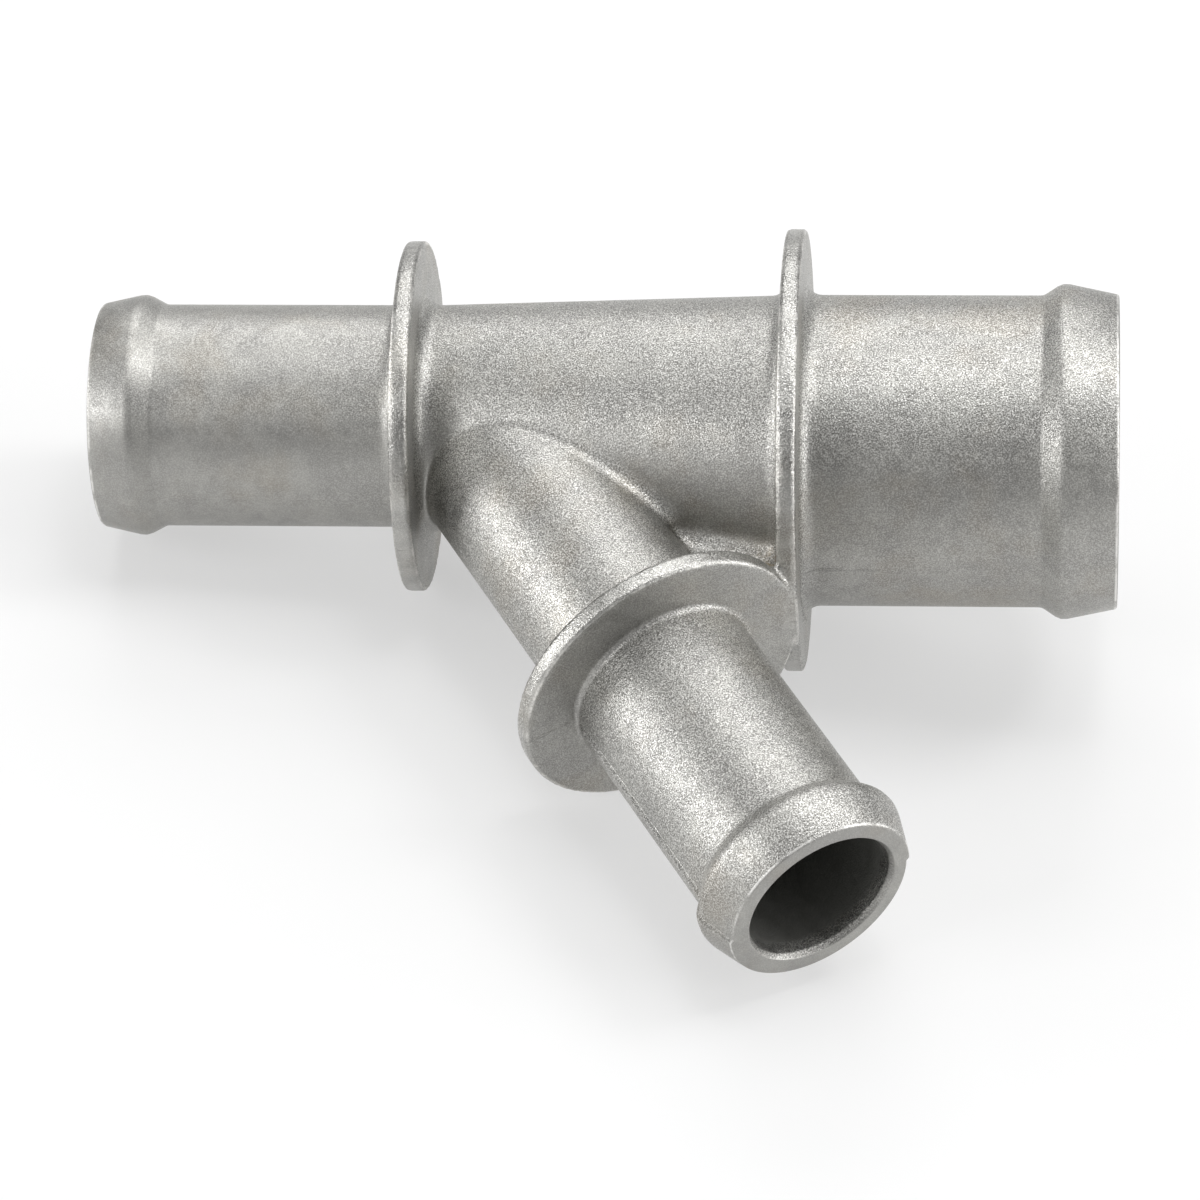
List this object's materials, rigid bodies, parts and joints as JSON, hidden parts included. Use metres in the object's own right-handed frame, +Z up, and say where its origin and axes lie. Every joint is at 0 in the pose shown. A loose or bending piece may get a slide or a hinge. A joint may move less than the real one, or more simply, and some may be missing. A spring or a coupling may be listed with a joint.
{
  "type": "hose connector",
  "caption": "Cast aluminium connector with beaded hose spigots: a straight run that steps up in bore, and an angled side branch, each with a stop collar.",
  "frame": {"origin": "under the middle of the bounding box, on the surface that the connector lies on with the rims of its three collars", "axes": "+X along the run in plan, from the small spigot to the big one; +Y across it in plan, away from the branch; +Z up. As it lies, the run rises 7.7 degrees towards the big spigot and the parting plane leans 10.6 degrees towards the branch"},
  "size_m": [0.1084, 0.0844, 0.0452],
  "materials": {
    "casting": "bead-blasted casting, satin"
  },
  "bodies": {
    "root": {"hose_connector": "casting"}
  },
  "joints": []
}
